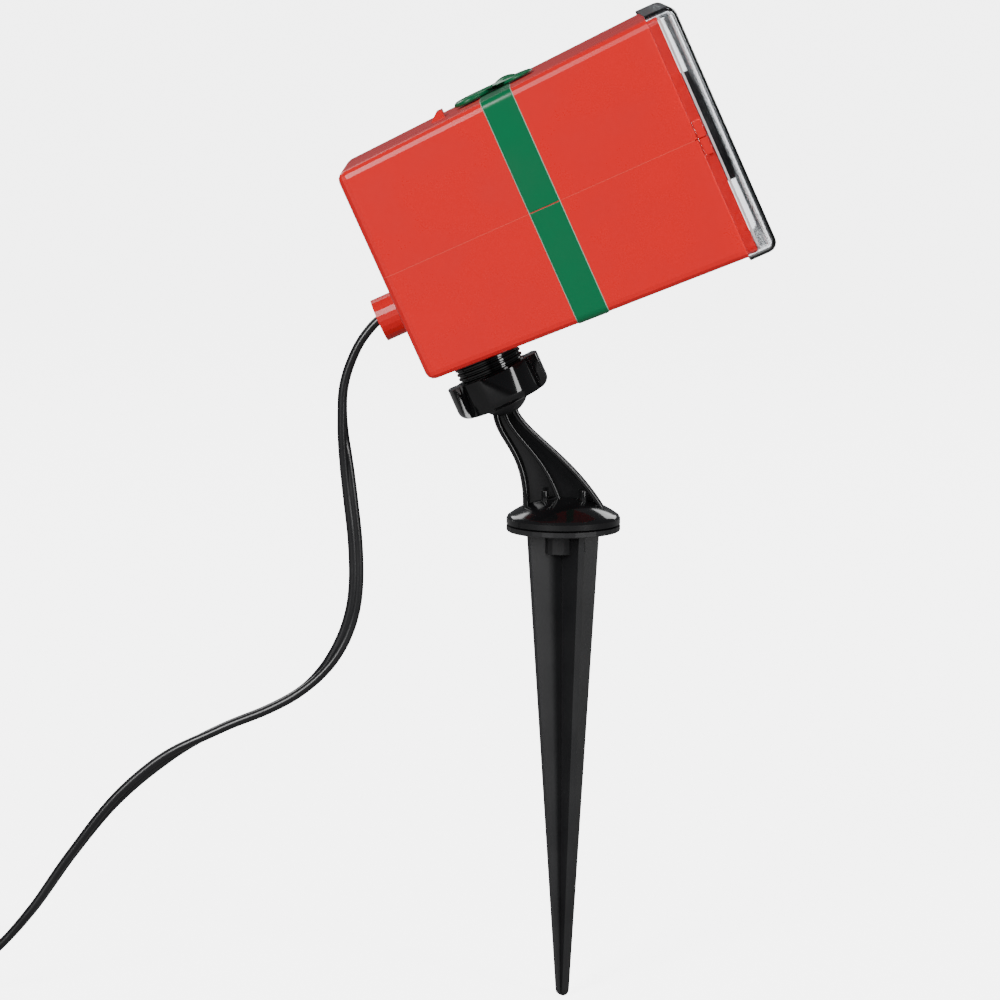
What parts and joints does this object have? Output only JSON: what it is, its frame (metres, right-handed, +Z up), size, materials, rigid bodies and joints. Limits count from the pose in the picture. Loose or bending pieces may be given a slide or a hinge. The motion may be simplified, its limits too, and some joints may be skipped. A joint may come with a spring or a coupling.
{
  "type": "garden_projector",
  "caption": "Snowfall effect projector shaped like a red gift box with a green ribbon and bow, on a ball-jointed arm and a ground stake, with a coiled mains lead.",
  "frame": {"origin": "tip of the ground stake", "axes": "+Z up along the stake, +X the way the beam leaves, seen from above; the head is tilted up at rest"},
  "size_m": [0.405, 0.136, 0.3636],
  "materials": {
    "ball_arm": "gloss, with a matte ball",
    "ball_pad": "plain moulded",
    "ball_ring": "plain moulded",
    "ball_socket": "gloss",
    "bow_knot": "satin gloss",
    "bow_loops": "satin gloss",
    "case_screw_1": "zinc plated",
    "case_screw_2": "zinc plated",
    "case_screw_3": "zinc plated",
    "case_screw_4": "zinc plated",
    "clamp_knob": "gloss",
    "condenser_holder": "matte",
    "condenser_lens": "clear",
    "cover_seal": "pale silicone",
    "driver_board": "board with a green mask",
    "driver_capacitor": "sleeved",
    "driver_transformer": "taped",
    "drum_gear": "moulded",
    "drum_shaft": "ground",
    "front_cover": "clear polycarbonate",
    "front_mask": "matte",
    "gear_bracket": "plain sheet",
    "gear_motor": "plated can",
    "ground_stake": "satin",
    "inner_lead": "satin jacket",
    "lead_clamp": "moulded",
    "lead_coil": "satin jacket",
    "lead_free": "satin jacket",
    "lead_grommet": "matte",
    "lead_tie": "satin strap",
    "led_board": "metal-cored board with a white mask",
    "led_bracket": "plain",
    "led_chip": "phosphor",
    "lens_barrel": "matte",
    "lens_ring": "satin",
    "lower_ribbon": "satin gloss",
    "lower_shell": "gloss",
    "motor_pinion": "cut",
    "pattern_drum": "matte",
    "plug_blade_left": "plain",
    "plug_blade_right": "plain",
    "plug_body": "moulded, satin",
    "projection_lens": "clear",
    "socket_screw_1": "zinc plated",
    "socket_screw_2": "zinc plated",
    "socket_screw_3": "zinc plated",
    "socket_screw_4": "zinc plated",
    "terminal_block": "moulded",
    "upper_ribbon": "satin gloss",
    "upper_shell": "gloss"
  },
  "bodies": {
    "stand": {"ground_stake": "ground_stake", "ball_arm": "ball_arm", "lead_free": "lead_free", "lead_coil": "lead_coil", "lead_tie": "lead_tie", "plug_body": "plug_body", "plug_blade_left": "plug_blade_left", "plug_blade_right": "plug_blade_right"},
    "pad": {"ball_pad": "ball_pad"},
    "ring": {"ball_ring": "ball_ring"},
    "head": {"ball_socket": "ball_socket", "bow_knot": "bow_knot", "bow_loops": "bow_loops", "case_screw_1": "case_screw_1", "case_screw_2": "case_screw_2", "case_screw_3": "case_screw_3", "case_screw_4": "case_screw_4", "condenser_holder": "condenser_holder", "condenser_lens": "condenser_lens", "cover_seal": "cover_seal", "driver_board": "driver_board", "driver_capacitor": "driver_capacitor", "driver_transformer": "driver_transformer", "drum_shaft": "drum_shaft", "front_cover": "front_cover", "front_mask": "front_mask", "gear_bracket": "gear_bracket", "gear_motor": "gear_motor", "inner_lead": "inner_lead", "lead_clamp": "lead_clamp", "lead_grommet": "lead_grommet", "led_board": "led_board", "led_bracket": "led_bracket", "led_chip": "led_chip", "lens_barrel": "lens_barrel", "lens_ring": "lens_ring", "lower_ribbon": "lower_ribbon", "lower_shell": "lower_shell", "projection_lens": "projection_lens", "socket_screw_1": "socket_screw_1", "socket_screw_2": "socket_screw_2", "socket_screw_3": "socket_screw_3", "socket_screw_4": "socket_screw_4", "terminal_block": "terminal_block", "upper_ribbon": "upper_ribbon", "upper_shell": "upper_shell"},
    "knob": {"clamp_knob": "clamp_knob"},
    "drum": {"pattern_drum": "pattern_drum", "drum_gear": "drum_gear"},
    "pinion": {"motor_pinion": "motor_pinion"}
  },
  "joints": [
    {"name": "head_pan", "type": "hinge", "parent": "stand", "child": "pad", "pos_m": [-0.0229, 0, 0.2258], "axis": [-0.2079, 0, 0.9781], "range_deg": [-90, 90], "deforming": ["lead_free"]},
    {"name": "head_tilt", "type": "hinge", "parent": "pad", "child": "ring", "pos_m": [-0.0229, 0, 0.2258], "axis": [0, -1, 0], "range_deg": [-40, 15], "deforming": ["lead_free"]},
    {"name": "head_roll", "type": "hinge", "parent": "ring", "child": "head", "pos_m": [-0.0229, 0, 0.2258], "axis": [0.9128, 0, 0.4083], "range_deg": [-10, 10], "deforming": ["lead_free"]},
    {"name": "knob_turn", "type": "hinge", "parent": "head", "child": "knob", "pos_m": [-0.0229, 0, 0.2258], "axis": [-0.4083, 0, 0.9128], "range_deg": [-180, 0]},
    {"name": "drum_spin", "type": "hinge", "parent": "head", "child": "drum", "pos_m": [-0.00504, 0, 0.29754], "axis": [0, 1, 0], "continuous": true},
    {"name": "pinion_spin", "type": "hinge", "parent": "head", "child": "pinion", "pos_m": [-0.02576, 0, 0.28827], "axis": [0, 1, 0], "continuous": true}
  ],
  "couplings": [
    {"joint": "pinion_spin", "follows": "drum_spin", "ratio": -4}
  ]
}
